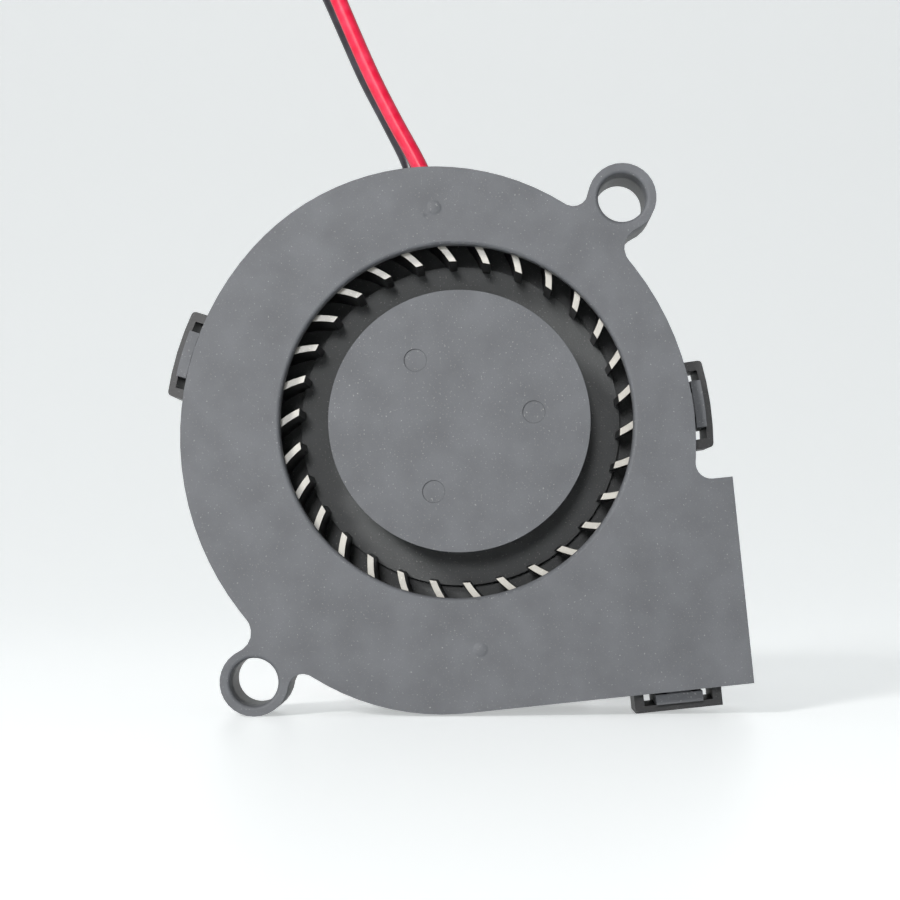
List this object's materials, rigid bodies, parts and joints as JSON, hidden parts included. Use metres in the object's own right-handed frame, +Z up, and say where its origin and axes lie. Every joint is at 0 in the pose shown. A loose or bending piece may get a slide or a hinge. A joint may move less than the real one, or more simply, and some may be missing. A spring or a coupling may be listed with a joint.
{
  "type": "dc blower fan",
  "caption": "Flat radial blower with a snapped-on inlet cover, a forward-curved impeller on a motor hub, two mounting ears and two leads on a connector.",
  "frame": {"origin": "middle of the base of the blower without its leads, on the surface it stands on", "axes": "+Z up; -Y is the way the inlet faces, so the impeller's shaft lies along Y; +X is the way the air leaves, 6 degrees from the outlet's own direction because the blower stands on its scroll and on the outlet's corner"},
  "size_m": [0.0551, 0.0444, 0.0818],
  "materials": {
    "housing_black": "matt moulded, fine-grained",
    "cover_grey": "matt moulded, fine-grained",
    "impeller_dark": "matt moulded, slightly glossy on the edges",
    "tube_brass": "turned",
    "bearing_bronze": "sintered, oiled",
    "pad_natural": "natural nylon",
    "lamination_steel": "stamped laminations",
    "insulator_cream": "moulded",
    "enamelled_copper": "enamelled copper wire",
    "tinned_metal": "tinned",
    "board_green": "solder mask",
    "chip_black": "moulded epoxy",
    "capacitor_tan": "fired ceramic",
    "yoke_steel": "drawn, zinc plated",
    "magnet_dark": "bonded ferrite",
    "shaft_steel": "ground and polished",
    "lead_red": "smooth insulation",
    "lead_black": "smooth insulation",
    "tie_black": "nylon",
    "connector_white": "natural nylon"
  },
  "bodies": {
    "housing": {"base_housing": "housing_black", "front_cover": "cover_grey", "bearing_tube": "tube_brass", "sleeve_bearing": "bearing_bronze", "thrust_pad": "pad_natural", "oil_washer": "pad_natural", "stator_core": "lamination_steel", "upper_insulator": "insulator_cream", "lower_insulator": "insulator_cream", "stator_coils": "enamelled_copper", "winding_pins": "tinned_metal", "circuit_board": "board_green", "hall_sensor": "chip_black", "driver_chip": "chip_black", "filter_capacitor": "capacitor_tan", "chip_resistors": "chip_black", "solder_joints": "tinned_metal", "red_lead": "lead_red", "black_lead": "lead_black", "red_coil": "lead_red", "black_coil": "lead_black", "lead_tie": "tie_black", "connector_housing": "connector_white", "crimp_terminals": "tinned_metal"},
    "rotor": {"impeller": "impeller_dark", "rotor_yoke": "yoke_steel", "ring_magnet": "magnet_dark", "shaft_boss": "tube_brass", "shaft": "shaft_steel", "retaining_clip": "pad_natural"}
  },
  "joints": [
    {"name": "impeller_spin", "type": "hinge", "parent": "housing", "child": "rotor", "pos_m": [-0.00005, 0, 0.02753], "axis": [0, -1, 0], "continuous": true}
  ]
}
